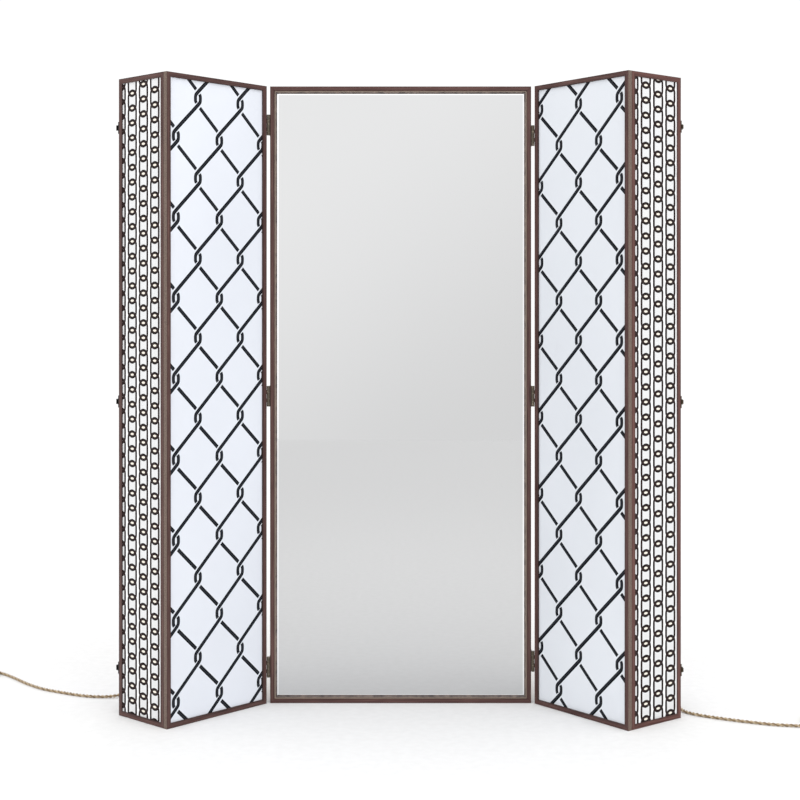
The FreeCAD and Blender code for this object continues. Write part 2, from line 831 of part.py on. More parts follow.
def coil(name, centre):
    """The outer shape of a wound cord: a flat ring lying on the floor."""
    middle, section = d["coil_middle_radius"], d["coil_section"]
    inner, outer, edge = middle - section * 0.5, middle + section * 0.5, section * 0.25
    corners = [
        (inner, edge), (inner + edge, 0), (outer - edge, 0), (outer, edge),
        (outer, section - edge), (outer - edge, section), (inner + edge, section),
        (inner, section - edge),
    ]
    ring = turned(name, corners)
    ring.Placement = at(centre[0], centre[1], 0)
    return ring


def plug(name, place):
    """A two-pin mains plug lying flat: the cord enters its sleeve at the origin along +X."""
    case_at, case_long, case_wide, case_tall = 20, 34, 36, 22
    middle = case_tall / 2
    case = box(f"{name}_case", (case_long, case_wide, case_tall), place * at(20, -18, 0))
    softened = doc.addObject("Part::Fillet", f"{name}_soft_case")
    softened.Base = case
    softened.Edges = [(edge, 5, 5) for edge in range(1, 13)]
    along = at(0, 0, 0, 90, (0, 1, 0))
    sleeve = cylinder(f"{name}_sleeve", 6.5, case_at + 4, place * at(0, 0, middle) * along)
    pins = [
        cylinder(f"{name}_pin{i}", 2.2, 21, place * at(case_at + case_long - 2, y, middle) * along)
        for i, y in enumerate((-9.5, 9.5))
    ]
    return fuse(f"{name}_whole", [softened, sleeve, *pins])


def plug_place(centre, bearing):
    """Beside a coil: the sleeve starts in the coil's outer turn and points half outwards."""
    radius = DIMENSIONS["coil_middle_radius"] + 7
    angle = math.radians(bearing)
    x, y = centre[0] + radius * math.cos(angle), centre[1] + radius * math.sin(angle)
    return at(x, y, 0, bearing + 45)


def cords(left, right):
    """The free mains cord of each wing, its coil and its plug."""
    ends = (
        (left, LEFT_ROUTE, (-1320, 310), 208),
        (right, RIGHT_ROUTE, (1176, -216), 50),
    )
    for wing, route, centre, bearing in ends:
        start = wing.gland_place(d["relief_length"]).Base
        wing.add(cord_tube(f"{wing.word}_cord_tube", (start, *route)), "cord")
        wing.add(coil(f"{wing.word}_coil_ring", centre), "cord_coil")
        wing.add(plug(f"{wing.word}_mains_plug", plug_place(centre, bearing)), "plug")


# --------------------------------------------------------------------- make

mirror()
hinges()
left_wing, right_wing = Wing("left", -1), Wing("right", 1)
left_wing.build()
right_wing.build()
catches(left_wing, right_wing)
cords(left_wing, right_wing)
doc.recompute()

faults = [o.Name for o in doc.Objects if "Invalid" in o.State or "Error" in o.State]
for thing in NODES:
    shape = Part.getShape(thing)
    if shape.isNull() or not shape.isValid() or not shape.Solids:
        faults.append(thing.Label)
if faults:
    raise RuntimeError(f"these objects are not sound: {faults}")

os.makedirs("parts", exist_ok=True)
for thing in NODES:
    Part.getShape(thing).exportStep(f"parts/{thing.Label}.step")
print(len(NODES), "nodes written")
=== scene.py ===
import math

import bmesh
import bpy
from mathutils import Matrix, Vector


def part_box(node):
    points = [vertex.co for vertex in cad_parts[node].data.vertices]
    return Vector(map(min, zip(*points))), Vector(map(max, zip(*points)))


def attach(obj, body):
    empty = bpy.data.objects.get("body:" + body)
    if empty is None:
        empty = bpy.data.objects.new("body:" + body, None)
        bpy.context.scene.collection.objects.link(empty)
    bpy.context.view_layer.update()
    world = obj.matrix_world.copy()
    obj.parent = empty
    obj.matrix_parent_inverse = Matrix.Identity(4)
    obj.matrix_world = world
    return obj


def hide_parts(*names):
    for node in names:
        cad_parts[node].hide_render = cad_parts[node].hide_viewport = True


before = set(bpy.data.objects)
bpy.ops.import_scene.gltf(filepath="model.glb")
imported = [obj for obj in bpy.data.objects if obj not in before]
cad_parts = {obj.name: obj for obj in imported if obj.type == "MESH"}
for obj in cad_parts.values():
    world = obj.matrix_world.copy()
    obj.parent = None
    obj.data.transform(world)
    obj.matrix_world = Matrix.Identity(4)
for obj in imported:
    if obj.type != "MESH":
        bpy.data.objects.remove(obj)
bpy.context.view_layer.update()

scene = bpy.context.scene
scene.view_settings.view_transform = "Standard"

# Sizes of the CAD model, in metres.
HEIGHT = 1.8
MIRROR_WIDE = 0.762
WING_WIDE = 0.368
WING_DEEP = 0.215
MEMBER = 0.014
# From the line of a wing's hinge pins to its near side, and to the face of its front.
NEAR = 0.0048
FACE = 0.002
WINGS = {
    "left": {"side": -1, "angle": math.radians(47.5), "pin": Vector((-0.3858, -0.017, 0))},
    "right": {"side": 1, "angle": math.radians(-51.4), "pin": Vector((0.3858, -0.017, 0))},
}


# ------------------------------------------------------------------ materials


class Shader:
    """One procedural material, built up from the row's own coordinates."""

    def __init__(self, name, **sockets):
        self.mat = bpy.data.materials.new(name)
        self.mat.use_nodes = True
        self.tree = self.mat.node_tree
        self.bsdf = self.tree.nodes["Principled BSDF"]
        for socket, value in sockets.items():
            self.bsdf.inputs[socket.replace("_", " ")].default_value = value
        self.place = self.add("TexCoord").outputs["Object"]

    def add(self, kind, *wires, **settings):
        """A node. wires go to its inputs in order; None leaves one as it is."""
        made = self.tree.nodes.new(f"ShaderNode{kind}")
        for setting, value in settings.items():
            if hasattr(made, setting):
                setattr(made, setting, value)
            else:
                made.inputs[setting.replace("_", " ")].default_value = value
        for socket, wire in zip(made.inputs, wires):
            self.join(wire, socket)
        return made

    def join(self, wire, socket):
        if wire is None:
            return
        if isinstance(wire, bpy.types.NodeSocket):
            self.tree.links.new(wire, socket)
        else:
            socket.default_value = wire

    def math(self, operation, *wires):
        return self.add("Math", *wires, operation=operation).outputs[0]

    def moved(self, vector, location=(0, 0, 0), rotation=(0, 0, 0), scale=(1, 1, 1), kind="POINT"):
        node = self.add("Mapping", vector, vector_type=kind)
        node.inputs["Location"].default_value = location
        node.inputs["Rotation"].default_value = rotation
        node.inputs["Scale"].default_value = scale
        return node.outputs[0]

    def noise(self, vector, scale=1.0, detail=3.0, roughness=0.5):
        return self.add(
            "TexNoise", vector, Scale=scale, Detail=detail, Roughness=roughness
        ).outputs["Fac"]

    def ramp(self, factor, *stops):
        """Colours (or single values) at positions along a factor."""
        node = self.add("ValToRGB", factor)
        elements = node.color_ramp.elements
        while len(elements) < len(stops):
            elements.new(0.5)
        for element, (position, colour) in zip(elements, stops):
            element.position = position
            grey = isinstance(colour, (int, float))
            element.color = (colour, colour, colour, 1) if grey else (*colour, 1)
        return node.outputs[0]

    def mix(self, factor, a, b, kind="MIX"):
        node = self.add("Mix", data_type="RGBA", blend_type=kind)
        self.join(factor, node.inputs["Factor"])
        self.join((*a, 1) if isinstance(a, tuple) else a, node.inputs["A"])
        self.join((*b, 1) if isinstance(b, tuple) else b, node.inputs["B"])
        return node.outputs["Result"]

    def colour(self, wire):
        self.join(wire, self.bsdf.inputs["Base Color"])

    def rough(self, wire):
        self.join(wire, self.bsdf.inputs["Roughness"])

    def bump(self, height, distance, strength=1.0):
        node = self.add("Bump", Strength=strength, Distance=distance)
        self.join(height, node.inputs["Height"])
        self.join(node.outputs[0], self.bsdf.inputs["Normal"])


def srgb(red, green, blue):
    """A colour as it looks on a screen, 0 to 255, as linear light."""
    def linear(value):
        value /= 255
        return value / 12.92 if value <= 0.04045 else ((value + 0.055) / 1.055) ** 2.4
    return tuple(linear(value) for value in (red, green, blue))


def paint(material, *nodes):
    """Gives CAD nodes one material each."""
    for name in nodes:
        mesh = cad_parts[name].data
        mesh.materials.clear()
        mesh.materials.append(material)


def soften(width, *nodes):
    """Rounds the sharp edges of CAD nodes a little."""
    for name in nodes:
        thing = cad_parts[name]
        weld = thing.modifiers.new("weld", "WELD")
        weld.merge_threshold = 0.00001
        bevel = thing.modifiers.new("edges", "BEVEL")
        bevel.width = width
        bevel.segments = 2
        bevel.limit_method = "ANGLE"
        bevel.angle_limit = math.radians(40)


# How far in from a wing's two sides the streaks of its rear frame and boards run upright.
REAR_STILE = 0.044
# The depth of wood that counts as the narrow face at a wing's front corner.
SKIN = 0.0002


def stained_wood(name, along, angle=0.0, split=None, tone=(1.0, 1.0, 1.0), edge_shaded=True):
    """Dark brown stained wood with streaks along "x" or "z".

    split is (pin, side, kind) for a wing's frames and boards, where the streaks turn from the
    stiles to the rails. tone is a tint over all of it. Except at the rear, and unless turned off,
    each member gets painted shade towards both its edges.
    """
    shader = Shader(name, Coat_Weight=0.06, Coat_Roughness=0.4, Specular_IOR_Level=0.22)
    pin, side, kind = split or (None, None, None)
    local = shader.place
    if split:
        local = shader.moved(shader.place, tuple(pin), (0, 0, angle), kind="TEXTURE")
    upright = shader.moved(local, scale=(420, 420, 9))
    level = shader.moved(local, scale=(420, 9, 420) if kind == "end" else (9, 420, 420))
    x, y, z = shader.add("SeparateXYZ", local).outputs
    low_high = shader.math("MINIMUM", z, shader.math("SUBTRACT", HEIGHT, z))
    if split:
        if kind == "end":
            first = shader.math("SUBTRACT", y, FACE + MEMBER)
            last = shader.math("SUBTRACT", FACE + WING_DEEP, y)
        else:
            out = shader.math("MULTIPLY", x, float(side))
            first = shader.math("SUBTRACT", out, NEAR)
            last = shader.math("SUBTRACT", NEAR + WING_WIDE, out)
        sides = shader.math("MINIMUM", first, last)
        rail = shader.math("LESS_THAN", low_high, sides)
        if kind == "rear":
            rail = shader.math("GREATER_THAN", sides, REAR_STILE)
        vector = shader.add("Mix", data_type="VECTOR")
        shader.join(rail, vector.inputs["Factor"])
        shader.join(upright, vector.inputs[4])
        shader.join(level, vector.inputs[5])
        grain_at = vector.outputs[1]
    else:
        sides = shader.math("SUBTRACT", MIRROR_WIDE / 2, shader.math("ABSOLUTE", x))
        grain_at = upright if along == "z" else level
    grain = shader.noise(grain_at, 1.0, 5.0, 0.62)
    patch = shader.noise(shader.moved(shader.place, scale=(7, 7, 2.2)), 1.0, 2.0)
    base = shader.ramp(
        grain,
        (0.28, srgb(58, 40, 38)), (0.45, srgb(88, 65, 62)), (0.6, srgb(102, 77, 73)),
        (0.78, srgb(140, 112, 103)),
    )
    shade = shader.ramp(patch, (0.3, srgb(232, 218, 216)), (0.7, srgb(255, 244, 240)))
    colour = shader.mix(1.0, shader.mix(1.0, base, shade, "MULTIPLY"), tone, "MULTIPLY")
    if edge_shaded and kind != "rear":
        # Painted shade: each member is lightest along its middle and darkened towards both its
        # edges.
        across = shader.math("DIVIDE", shader.math("MINIMUM", sides, low_high), MEMBER)
        wear_and_shade = shader.ramp(
            across, (0.0, 0.42), (0.12, 0.8), (0.4, 1.0), (0.55, 0.84), (0.85, 0.74), (1.0, 0.45)
        )
        colour = shader.mix(1.0, colour, wear_and_shade, "MULTIPLY")
    if kind == "front":
        # The narrow face at the wing's front corner is greyer and speckled.
        edge = shader.math("GREATER_THAN", out, NEAR + WING_WIDE - SKIN)
        speck = shader.noise(shader.moved(local, scale=(300, 300, 700)), 1.0, 2.0)
        strip = shader.ramp(speck, (0.35, srgb(88, 74, 66)), (0.65, srgb(130, 112, 101)))
        colour = shader.mix(edge, colour, strip)
    shader.colour(colour)
    shader.rough(shader.ramp(grain, (0.3, 0.62), (0.7, 0.46)))
    shader.bump(grain, 0.0004, 0.5)
    return shader.mat


# The width of the painted highlight along the bead's outer edge.
ARRIS = 0.0014


def bead_material(name):
    """The thin bead round the glass: a painted highlight on its edge, then a scuffed grey-brown
    face.
    """
    shader = Shader(name, Specular_IOR_Level=0.25)
    x, y, z = shader.add("SeparateXYZ", shader.place).outputs
    sides = shader.math("SUBTRACT", MIRROR_WIDE / 2, shader.math("ABSOLUTE", x))
    low_high = shader.math("MINIMUM", z, shader.math("SUBTRACT", HEIGHT, z))
    across = shader.math("SUBTRACT", shader.math("MINIMUM", sides, low_high), MEMBER)
    wear = shader.noise(shader.moved(shader.place, scale=(60, 60, 60)), 1.0, 4.0, 0.6)
    face = shader.ramp(wear, (0.35, srgb(78, 68, 66)), (0.65, srgb(124, 108, 100)))
    # Painted highlight: a pale line along the bead's outer edge.
    arris_highlight = shader.math("LESS_THAN", across, ARRIS)
    shader.colour(shader.mix(arris_highlight, face, srgb(158, 143, 128)))
    shader.rough(shader.ramp(wear, (0.3, 0.6), (0.7, 0.45)))
    shader.bump(wear, 0.0001, 0.5)
    return shader.mat


def opal_material(name, tone, glow):
    """A translucent white sheet with a painted glow, for the lamp behind it that lights it a
    little.
    """
    shader = Shader(name, Roughness=0.32, IOR=1.49, Specular_IOR_Level=0.35)
    cloud = shader.noise(shader.moved(shader.place, scale=(2.4, 2.4, 1.6)), 1.0, 2.0)
    tint = shader.ramp(
        cloud, (0.3, tuple(c * 0.97 for c in tone)), (0.7, tuple(min(1, c * 1.02) for c in tone))
    )
    shader.colour(tint)
    # Painted light: the sheet glows in its own tint, for the light of the lamp behind it.
    shader.join(tint, shader.bsdf.inputs["Emission Color"])
    shader.bsdf.inputs["Emission Strength"].default_value = glow
    fine = shader.noise(shader.moved(shader.place, scale=(900, 900, 900)), 1.0, 1.0)
    shader.bump(fine, 0.00004, 0.3)
    return shader.mat


def ink_material(name, dark, light, thin):
    """Printed wire: dark at its edges, with a lighter line a little off its middle."""
    shader = Shader(name, Specular_IOR_Level=0.1)
    uv = shader.add("UVMap").outputs[0]
    across = shader.add("SeparateXYZ", uv).outputs[1]
    line = shader.ramp(
        across, (0.3, 0.0), (0.42, 1.0), (0.5, 0.9), (0.5 + thin, 0.0),
    )
    wear_and_shade = shader.noise(shader.moved(shader.place, scale=(500, 500, 500)), 1.0, 2.0)
    amount = shader.math("MULTIPLY", line, shader.ramp(wear_and_shade, (0.3, 0.55), (0.7, 1.0)))
    shader.colour(shader.mix(amount, dark, light))
    shader.rough(shader.ramp(wear_and_shade, (0.3, 0.38), (0.7, 0.5)))
    return shader.mat


def metal_material(name, tone, wear_and_shade, rough=0.42):
    """Darkened metal with paler spots of wear."""
    shader = Shader(name, Metallic=0.55, Specular_IOR_Level=0.5)
    cloud = shader.noise(shader.moved(shader.place, scale=(160, 160, 160)), 1.0, 4.0)
    fine = shader.noise(shader.moved(shader.place, scale=(1400, 1400, 1400)), 1.0, 2.0)
    shader.colour(shader.ramp(cloud, (0.35, tone), (0.58, tone), (0.72, wear_and_shade)))
    shader.rough(shader.ramp(cloud, (0.3, rough - 0.08), (0.7, rough + 0.12)))
    shader.bump(fine, 0.00008, 0.5)
    return shader.mat


def plain_material(name, tone, rough, scale, depth, **sockets):
    """A moulded or enamelled finish with a little texture of its own."""
    shader = Shader(name, **sockets)
    fine = shader.noise(shader.moved(shader.place, scale=(scale, scale, scale)), 1.0, 3.0)
    lighter = tuple(min(1, c * (1.03 if c > 0.5 else 1.14) + 0.004) for c in tone)
    shader.colour(shader.ramp(fine, (0.35, tone), (0.65, lighter)))
    shader.rough(shader.ramp(fine, (0.3, rough - 0.05), (0.7, rough + 0.07)))
    shader.bump(fine, depth, 0.6)
    return shader.mat


def mirror_material(name, tone):
    """Silvered glass with a very faint haze."""
    shader = Shader(name, Metallic=1.0, Roughness=0.015)
    haze = shader.noise(shader.moved(shader.place, scale=(1.3, 1.3, 0.9)), 1.0, 1.0)
    dim = tuple(c * 0.985 for c in tone)
    shader.colour(shader.ramp(haze, (0.35, dim), (0.65, tone)))
    shader.rough(shader.ramp(haze, (0.3, 0.012), (0.7, 0.03)))
    return shader.mat


def board_material(name):
    """Brown pressed board."""
    shader = Shader(name, Specular_IOR_Level=0.25)
    fibre = shader.noise(shader.moved(shader.place, scale=(260, 260, 420)), 1.0, 5.0, 0.7)
    blotch = shader.noise(shader.moved(shader.place, scale=(9, 9, 9)), 1.0, 2.0)
    base = shader.ramp(fibre, (0.3, srgb(120, 92, 64)), (0.7, srgb(164, 133, 98)))
    shade = shader.ramp(blotch, (0.3, 0.86), (0.7, 1.0))
    shader.colour(shader.mix(1.0, base, shade, "MULTIPLY"))
    shader.rough(shader.ramp(fibre, (0.3, 0.75), (0.7, 0.9)))
    shader.bump(fibre, 0.0002, 0.6)
    return shader.mat


# A strand's UV: U for each metre along it, V once round it, and where the second one's V starts.
THREADS = 700
ROUND_V = 6
SECOND_V = 10


def cloth_cord_material(name):
    """A woven cotton sleeve, darker on the second strand, which its V tells from the first."""
    shader = Shader(name, Specular_IOR_Level=0.2, Sheen_Weight=0.35, Sheen_Roughness=0.5)
    uv = shader.add("UVMap").outputs[0]
    twist = shader.moved(uv, rotation=(0, 0, 0.6))
    weave = shader.add(
        "TexWave", twist, wave_type="BANDS", bands_direction="X", Scale=1.2, Distortion=0.6,
        Detail=1.0,
    ).outputs["Fac"]
    fuzz = shader.noise(shader.moved(shader.place, scale=(900, 900, 900)), 1.0, 3.0)
    mottled = shader.noise(shader.moved(shader.place, scale=(40, 40, 40)), 1.0, 2.0)
    pale = shader.ramp(weave, (0.15, srgb(178, 158, 128)), (0.75, srgb(226, 211, 184)))
    dark = shader.ramp(weave, (0.15, srgb(124, 102, 74)), (0.75, srgb(172, 149, 117)))
    v = shader.add("SeparateXYZ", uv).outputs[1]
    second = shader.math("GREATER_THAN", v, (ROUND_V + SECOND_V) / 2)
    base = shader.mix(second, pale, dark)
    shade = shader.ramp(mottled, (0.3, srgb(232, 224, 214)), (0.7, srgb(255, 250, 240)))
    shader.colour(shader.mix(1.0, base, shade, "MULTIPLY"))
    shader.rough(shader.ramp(fuzz, (0.3, 0.82), (0.7, 0.95)))
    height = shader.math("ADD", weave, shader.math("MULTIPLY", fuzz, 0.4))
    shader.bump(height, 0.0003, 0.7)
    return shader.mat


# The length of the lamp's glass, between its caps.
LAMP_GLASS = 1.487


def lamp_material(name):
    """Frosted glass between metal caps, told apart by height."""
    shader = Shader(name, Coat_Weight=0.4, Coat_Roughness=0.1)
    z = shader.add("SeparateXYZ", shader.place).outputs[2]
    away = shader.math("ABSOLUTE", shader.math("SUBTRACT", z, HEIGHT / 2))
    cap = shader.math("GREATER_THAN", away, LAMP_GLASS / 2)
    frost = shader.noise(shader.moved(shader.place, scale=(300, 300, 60)), 1.0, 2.0)
    glass = shader.ramp(frost, (0.3, srgb(236, 238, 234)), (0.7, srgb(250, 251, 248)))
    shader.colour(shader.mix(cap, glass, srgb(176, 178, 180)))
    shader.join(cap, shader.bsdf.inputs["Metallic"])
    shader.rough(shader.ramp(frost, (0.3, 0.3), (0.7, 0.42)))
    return shader.mat


# --------------------------------------------------------------- mesh helpers


def new_object(name, mesh, body, *materials, smooth=True, slot=None):
    """An object of this mesh, riding a body of the part, or none for the stage."""
    made = bpy.data.objects.new(name, mesh)
    scene.collection.objects.link(made)
    for material in materials:
        mesh.materials.append(material)
    if smooth:
        mesh.polygons.foreach_set("use_smooth", [True] * len(mesh.polygons))
    if body:
        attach(made, body)
    return made


# How far a print's own plane stands off its panel, and its filled shapes off that.
PRINT_LIFT = 0.00005
FILL_LIFT = 0.0001


class Sheet:
    """Faces with UVs, gathered in a flat frame and laid onto a panel at the end."""

    def __init__(self):
        self.bm = bmesh.new()
        self.uv = self.bm.loops.layers.uv.new("UVMap")

    def face(self, corners, uvs, index=0):
        face = self.bm.faces.new(corners)
        face.material_index = index
        for loop, uv in zip(face.loops, uvs):
            loop[self.uv].uv = uv

    def ribbon(self, points, width, rise, closed=False):
        """A low crowned strip along flat points, with v across it."""
        profile = ((-0.5, 0.0), (-0.36, 0.8), (0.0, 1.0), (0.36, 0.8), (0.5, 0.0))
        u_scale, closing = 100, 0.002
        count = len(points)
        rows, run = [], [0.0]
        for i, point in enumerate(points):
            before = points[i - 1] if closed or i else points[0]
            after = points[(i + 1) % count] if closed or i < count - 1 else points[-1]
            way = (after - before).normalized()
            side = Vector((-way.y, way.x))
            row = []
            for across, up in profile:
                spot = point + side * (across * width)
                row.append(self.bm.verts.new((spot.x, spot.y, up * rise)))
            rows.append(row)
            if i:
                run.append(run[-1] + (point - points[i - 1]).length)
        last = count if closed else count - 1
        for i in range(last):
            a, b = rows[i], rows[(i + 1) % count]
            u0 = run[i] * u_scale
            u1 = (run[i + 1] if i + 1 < count else run[i] + closing) * u_scale
            for j in range(len(profile) - 1):
                v0, v1 = profile[j][0] + 0.5, profile[j + 1][0] + 0.5
                corners = (a[j], b[j], b[j + 1], a[j + 1])
                self.face(corners, ((u0, v0), (u1, v0), (u1, v1), (u0, v1)))

    def fill(self, points, index):
        """A flat shape of another colour, under the ribbons."""
        verts = [self.bm.verts.new((p.x, p.y, FILL_LIFT)) for p in points]
        self.face(verts, [(0.5, 0.0)] * len(verts), index)

    def trim(self, wide, tall):
        """Cuts off what lies outside the opening, 0 to wide and 0 to tall."""
        for spot, normal in (
            ((0, 0, 0), (-1, 0, 0)), ((wide, 0, 0), (1, 0, 0)),
            ((0, 0, 0), (0, -1, 0)), ((0, tall, 0), (0, 1, 0)),
        ):
            geometry = self.bm.verts[:] + self.bm.edges[:] + self.bm.faces[:]
            bmesh.ops.bisect_plane(
                self.bm, geom=geometry, plane_co=spot, plane_no=normal, clear_outer=True
            )

    def mesh(self, name, matrix):
        self.bm.transform(matrix)
        mesh = bpy.data.meshes.new(name)
        self.bm.to_mesh(mesh)
        self.bm.free()
        return mesh


def rounded(points, times=2):
    """Corner cutting: an open line of points made smooth, its ends kept."""
    for _ in range(times):
        cut = [points[0]]
        for a, b in zip(points, points[1:]):
            cut += [a.lerp(b, 0.25), a.lerp(b, 0.75)]
        cut.append(points[-1])
        points = cut
    return points


def spaced(points, step):
    """The same line with points at even steps."""
    lengths = [0.0]
    for a, b in zip(points, points[1:]):
        lengths.append(lengths[-1] + (b - a).length)
    count = max(2, round(lengths[-1] / step))
    result, i = [], 0
    for k in range(count + 1):
        target = lengths[-1] * k / count
        while i < len(lengths) - 2 and lengths[i + 1] < target:
            i += 1
        share = (target - lengths[i]) / max(1e-9, lengths[i + 1] - lengths[i])
        result.append(points[i].lerp(points[i + 1], min(1.0, share)))
    return result


def wing_matrix(word):
    """From the wing's own frame (pin at its origin, front facing -Y) to the row frame."""
    wing = WINGS[word]
    return Matrix.Translation(wing["pin"]) @ Matrix.Rotation(wing["angle"], 4, "Z")


# How far the panels' faces lie behind the outside of their frames.
FRONT_SET = 0.00515
END_SET = 0.00315


def face_matrix(word, kind):
    """From a panel's opening, seen from outside with its lower left corner at 0, 0, to the row."""
    side = WINGS[word]["side"]
    if kind == "front":
        start = NEAR + MEMBER if side > 0 else -(NEAR + WING_WIDE - MEMBER)
        corner = Vector((start, FACE + FRONT_SET - PRINT_LIFT, MEMBER))
        right = Vector((1, 0, 0))
        out = Vector((0, -1, 0))
    else:
        near, far = FACE + 2 * MEMBER, FACE + WING_DEEP - MEMBER
        out = Vector((side, 0, 0))
        right = Vector((0, side, 0))
        deep = near if side > 0 else far
        corner = Vector((side * (NEAR + WING_WIDE - END_SET + PRINT_LIFT), deep, MEMBER))
    matrix = Matrix((
        (right.x, 0, out.x, corner.x), (right.y, 0, out.y, corner.y),
        (right.z, 1, out.z, corner.z), (0, 0, 0, 1),
    ))
    return wing_matrix(word) @ matrix


# ------------------------------------------------------------------- patterns


FENCE_PITCH = 0.2228
FENCE_STEP = 0.0781
FENCE_LINE = 0.0108
FENCE_RISE = 0.0008
FENCE_GAP = 0.0026
# The first column from the left (inside the opening) and the height of one of its knots.
FENCE_START = {"left": (0.0217, 1.6117), "right": (0.0034, 1.7165)}
# How a wire leaves a knot: its distances out from the knot's middle and down from it.
HOOK = ((0.0088, -0.0008), (0.0088, 0.004), (0.0082, 0.009))
OVER_TURN = (0.0046, 0.0142)
UNDER_TURN = (0.0036, 0.0158)
# Only wires that start this near each other can cross, and only at points this near the start.
START_REACH = 0.3
POINT_REACH = 0.25
# Ends closer than this belong to one and the same wire.
SAME_END = 0.003


def hooked(upper, lower, side, turn):
    """A wire from one knot, which it leaves on this side (1 is right), down to another."""
    bends = [Vector((side * out, -down)) for out, down in (*HOOK, turn)]
    return rounded([upper + bend for bend in bends] + [lower - bend for bend in bends[::-1]])


def fence_wires(first, knot):
    """(over, under) lines of woven wire. Even columns have a knot at this height."""
    over, under = [], []
    half = FENCE_PITCH / 2
    for column in range(-1, 7):
        x = first + column * FENCE_STEP
        for row in range(-10, 11):
            z = knot + row * FENCE_PITCH + (half if column % 2 else 0)
            if not -half < z < HEIGHT + FENCE_PITCH:
                continue
            # Down from this column's right-hand hook to the next one on its left, in front,
            # and from there to the one below on this column, behind.
            upper, far = Vector((x, z)), Vector((x - FENCE_STEP, z - half))
            below = Vector((x, z - FENCE_PITCH))
            over.append(spaced(hooked(upper, far, 1, OVER_TURN), 0.004))
            under.append(spaced(hooked(far, below, -1, UNDER_TURN), 0.002))
    return over, under


def clear_of(points, lines, reach):
    """The stretches of a line that stay further than reach from the other lines."""
    stretches, current = [], []
    spots = [q for line in lines for q in line if (q - points[0]).length < POINT_REACH]
    for point in points:
        if min(((q - point).length for q in spots), default=1.0) > reach:
            current.append(point)
            continue
        if len(current) > 2:
            stretches.append(current)
        current = []
    if len(current) > 2:
        stretches.append(current)
    return stretches


def fence(word, ink):
    """The woven wire on a wing's front panel. An under wire breaks off beside an over wire."""
    wide, tall = WING_WIDE - 2 * MEMBER, HEIGHT - 2 * MEMBER
    first, knot = FENCE_START[word]
    over, under = fence_wires(first, knot)
    sheet = Sheet()
    for line in over:
        sheet.ribbon(line, FENCE_LINE, FENCE_RISE)
    for line in under:
        # The over wires that it crosses, but not the ones that it runs on from.
        others = [
            spaced(other, 0.001) for other in over
            if min((a - b).length for a in (other[0], other[-1]) for b in (line[0], line[-1]))
            > SAME_END and (other[0] - line[0]).length < START_REACH
        ]
        for stretch in clear_of(line, others, FENCE_LINE / 2 + FENCE_GAP):
            sheet.ribbon(stretch, FENCE_LINE, FENCE_RISE)
    sheet.trim(wide, tall)
    mesh = sheet.mesh(f"{word}_fence_print", face_matrix(word, "front"))
    new_object(f"{word}_fence_print", mesh, f"{word}_wing", ink, slot="opal_panel")


CHAIN_PITCH = 0.04157
CHAIN_STEP = 0.0504
LINK_HALF = 0.0176
LINK_LINE = 0.0078
LINK_RISE = 0.0007
# Where two links overlap, and the ring and the pale eye drawn there, as half width and height.
OVERLAP = 0.022
RING = (0.0097, 0.0066)
RING_LINE = 0.0046
RING_RISE = 0.0009
EYE = (0.0085, 0.0044)
# How far the fill inside a link runs under the lines around it.
TUCK_TALL = 0.002
TUCK_WIDE = 0.001
# The middle of the first column, and the height of one of its rings.
CHAIN_START = {"left": (-0.007, 1.7205), "right": (-0.005, 1.7315)}


def link_outline(x, z):
    """A link's line: half circles joined by straight sides, the middle of its lower ring at z."""
    low = z - OVERLAP / 2 + LINK_HALF + LINK_LINE / 2
    high = z + CHAIN_PITCH + OVERLAP / 2 - LINK_HALF - LINK_LINE / 2
    points = []
    for middle, first in ((high, 0), (low, math.pi)):
        for k in range(17):
            angle = first + math.pi * k / 16
            points.append(Vector((
                x + LINK_HALF * math.cos(angle), middle + LINK_HALF * math.sin(angle)
            )))
    return points


def oval(x, z, half_wide, half_tall):
    """A ring of points, once round."""
    turns = [math.pi * k / 8 for k in range(16)]
    return [Vector((x + half_wide * math.cos(t), z + half_tall * math.sin(t))) for t in turns]


def chain(word, ink, cream, pale):
    """Upright chains of links side by side, each half a link out of step with the next."""
    wide, tall = WING_DEEP - 3 * MEMBER, HEIGHT - 2 * MEMBER
    first, ring = CHAIN_START[word]
    sheet = Sheet()
    for column in range(4):
        x = first + column * CHAIN_STEP
        start = ring - 50 * CHAIN_PITCH + (CHAIN_PITCH / 2 if column % 2 else 0)
        for row in range(60):
            z = start + row * CHAIN_PITCH
            if not -0.06 < z < tall + 0.02:
                continue
            outline = link_outline(x, z)
            outline = spaced(outline + outline[:1], 0.0022)[:-1]
            sheet.ribbon(outline, LINK_LINE, LINK_RISE, closed=True)
            sheet.ribbon(oval(x, z, *RING), RING_LINE, RING_RISE, closed=True)
            sheet.fill(oval(x, z, *EYE), 1)
            low = z + OVERLAP / 2 - TUCK_TALL
            high = z + CHAIN_PITCH - OVERLAP / 2 + TUCK_TALL
            inside = LINK_HALF - LINK_LINE / 2 + TUCK_WIDE
            sheet.fill([
                Vector((x - inside, low)), Vector((x + inside, low)),
                Vector((x + inside, high)), Vector((x - inside, high)),
            ], 2)
    sheet.trim(wide, tall)
    mesh = sheet.mesh(f"{word}_chain_print", face_matrix(word, "end"))
    new_object(f"{word}_chain_print", mesh, f"{word}_wing", ink, cream, pale, slot="opal_panel")


# ---------------------------------------------------------------------- cords


CORD = 0.009
FLOOR = 0.0045
